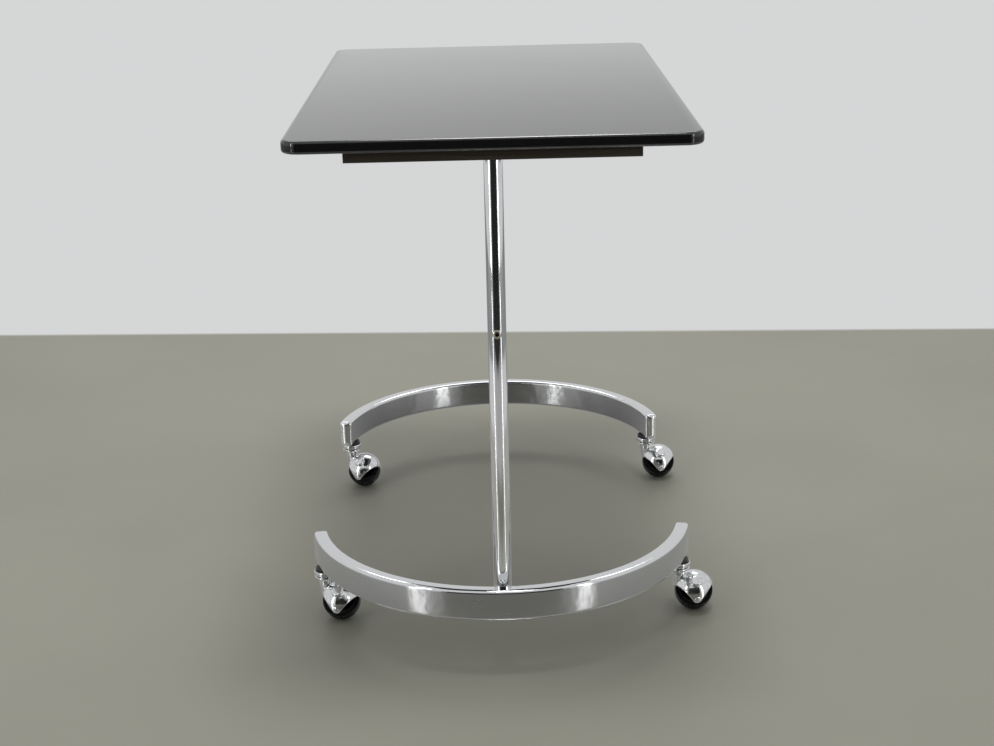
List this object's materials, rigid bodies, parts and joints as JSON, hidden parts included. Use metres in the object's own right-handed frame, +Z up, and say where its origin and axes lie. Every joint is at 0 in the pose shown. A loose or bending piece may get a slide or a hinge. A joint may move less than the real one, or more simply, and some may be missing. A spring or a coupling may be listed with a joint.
{
  "type": "rolling side table",
  "caption": "Low rolling side table: black lacquered rectangular top on chrome posts, curved tubular feet and hooded ball casters.",
  "frame": {"origin": "centre of the whole table's box at floor level", "axes": "+X across the table, to the side that the casters trail towards; +Y along the table, from the front end to the back end; +Z up"},
  "size_m": [0.525, 0.854, 0.663],
  "materials": {
    "black_lacquer": "glossy black lacquer",
    "dark_enamel": "dark brown-black satin enamel",
    "chrome": "polished chrome plate",
    "satin_chrome": "chrome plate with fine brushing along the bar",
    "zinc_steel": "zinc plated steel",
    "black_rubber": "black rubber tread",
    "black_plastic": "black moulded plastic"
  },
  "bodies": {
    "root": {"tabletop": "black_lacquer", "stretcher": "chrome", "top_rail_front": "dark_enamel", "post_front": "chrome", "post_insert_front": "zinc_steel", "post_plug_front": "black_plastic", "post_screw_front": "zinc_steel", "post_saddle_front": "chrome", "stretcher_insert_front": "zinc_steel", "stretcher_screw_front": "chrome", "foot_bar_front": "satin_chrome", "rail_screw_front_left": "zinc_steel", "foot_cap_front_left": "satin_chrome", "stem_front_left": "zinc_steel", "stem_nut_front_left": "zinc_steel", "washer_front_left": "black_plastic", "race_cup_front_left": "chrome", "rail_screw_front_right": "zinc_steel", "foot_cap_front_right": "satin_chrome", "stem_front_right": "zinc_steel", "stem_nut_front_right": "zinc_steel", "washer_front_right": "black_plastic", "race_cup_front_right": "chrome", "top_rail_back": "dark_enamel", "post_back": "chrome", "post_insert_back": "zinc_steel", "post_plug_back": "black_plastic", "post_screw_back": "zinc_steel", "post_saddle_back": "chrome", "stretcher_insert_back": "zinc_steel", "stretcher_screw_back": "chrome", "foot_bar_back": "satin_chrome", "rail_screw_back_left": "zinc_steel", "foot_cap_back_left": "satin_chrome", "stem_back_left": "zinc_steel", "stem_nut_back_left": "zinc_steel", "washer_back_left": "black_plastic", "race_cup_back_left": "chrome", "rail_screw_back_right": "zinc_steel", "foot_cap_back_right": "satin_chrome", "stem_back_right": "zinc_steel", "stem_nut_back_right": "zinc_steel", "washer_back_right": "black_plastic", "race_cup_back_right": "chrome"},
    "caster_front_left": {"hood_front_left": "chrome", "axle_front_left": "zinc_steel"},
    "wheel_front_left": {"tyre_front_left": "black_rubber", "wheel_hub_front_left": "black_plastic"},
    "caster_front_right": {"hood_front_right": "chrome", "axle_front_right": "zinc_steel"},
    "wheel_front_right": {"tyre_front_right": "black_rubber", "wheel_hub_front_right": "black_plastic"},
    "caster_back_left": {"hood_back_left": "chrome", "axle_back_left": "zinc_steel"},
    "wheel_back_left": {"tyre_back_left": "black_rubber", "wheel_hub_back_left": "black_plastic"},
    "caster_back_right": {"hood_back_right": "chrome", "axle_back_right": "zinc_steel"},
    "wheel_back_right": {"tyre_back_right": "black_rubber", "wheel_hub_back_right": "black_plastic"}
  },
  "joints": [
    {"name": "caster_front_left_swivel", "type": "hinge", "parent": "root", "child": "caster_front_left", "pos_m": [-0.248, -0.2459, 0.0545], "axis": [0, 0, 1], "continuous": true},
    {"name": "wheel_front_left_roll", "type": "hinge", "parent": "caster_front_left", "child": "wheel_front_left", "pos_m": [-0.22843, -0.25006, 0.025], "axis": [-0.1391, -0.6545, 0.7431], "continuous": true},
    {"name": "caster_front_right_swivel", "type": "hinge", "parent": "root", "child": "caster_front_right", "pos_m": [0.21581, -0.2459, 0.0545], "axis": [0, 0, 1], "continuous": true},
    {"name": "wheel_front_right_roll", "type": "hinge", "parent": "caster_front_right", "child": "wheel_front_right", "pos_m": [0.23574, -0.24416, 0.025], "axis": [0.0583, -0.6666, 0.7431], "continuous": true},
    {"name": "caster_back_left_swivel", "type": "hinge", "parent": "root", "child": "caster_back_left", "pos_m": [-0.248, 0.2459, 0.0545], "axis": [0, 0, 1], "continuous": true},
    {"name": "wheel_back_left_roll", "type": "hinge", "parent": "caster_back_left", "child": "wheel_back_left", "pos_m": [-0.2292, 0.23906, 0.025], "axis": [-0.2289, -0.6288, 0.7431], "continuous": true},
    {"name": "caster_back_right_swivel", "type": "hinge", "parent": "root", "child": "caster_back_right", "pos_m": [0.21581, 0.2459, 0.0545], "axis": [0, 0, 1], "continuous": true},
    {"name": "wheel_back_right_roll", "type": "hinge", "parent": "caster_back_right", "child": "wheel_back_right", "pos_m": [0.23574, 0.24764, 0.025], "axis": [0.0583, -0.6666, 0.7431], "continuous": true}
  ]
}
